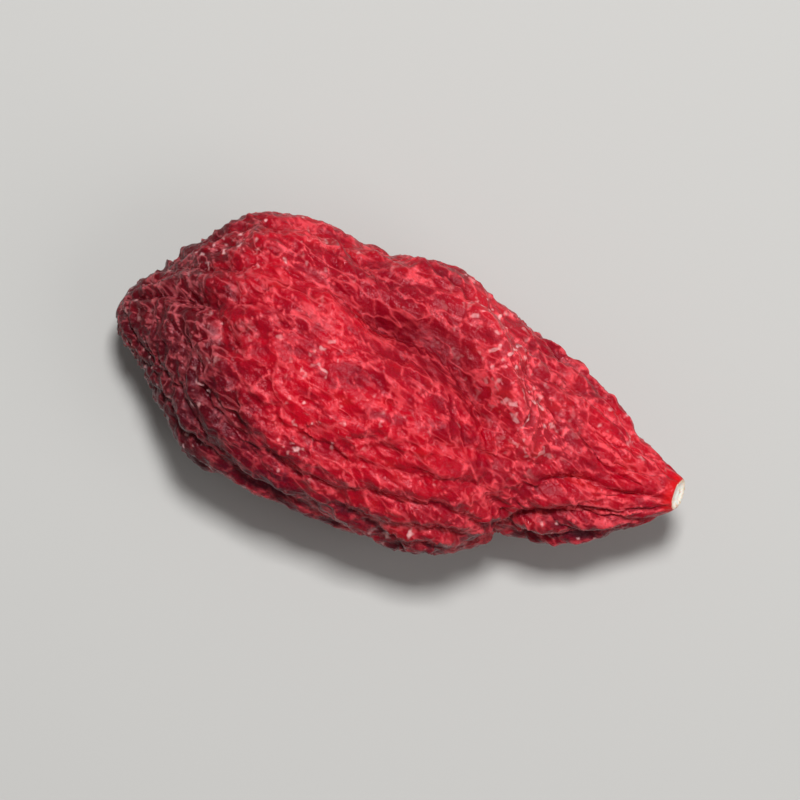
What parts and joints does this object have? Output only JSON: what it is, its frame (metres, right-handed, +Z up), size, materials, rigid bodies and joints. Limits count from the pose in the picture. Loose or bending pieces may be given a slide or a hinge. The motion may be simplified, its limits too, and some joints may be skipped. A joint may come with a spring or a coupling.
{
  "type": "dried goji berry",
  "caption": "Shrivelled spindle-shaped dried fruit with lengthwise wrinkles, a hollow across the top, a pale stalk scar at the tip and a blunt dark end.",
  "frame": {"origin": "middle of the bounding box in X and Y, at the height of the flat spot the berry rests on", "axes": "+X lengthwise towards the tip with the stalk scar, +Y towards the side that the picture shows uppermost in the picture, +Z up"},
  "size_m": [0.016, 0.0078, 0.0059],
  "materials": {
    "berry_skin": "dried fruit skin: deep red, a little waxy, finely wrinkled, maroon at the blunt end, with a cream stalk scar"
  },
  "bodies": {
    "root": {"dried_goji_berry": "berry_skin"}
  },
  "joints": []
}
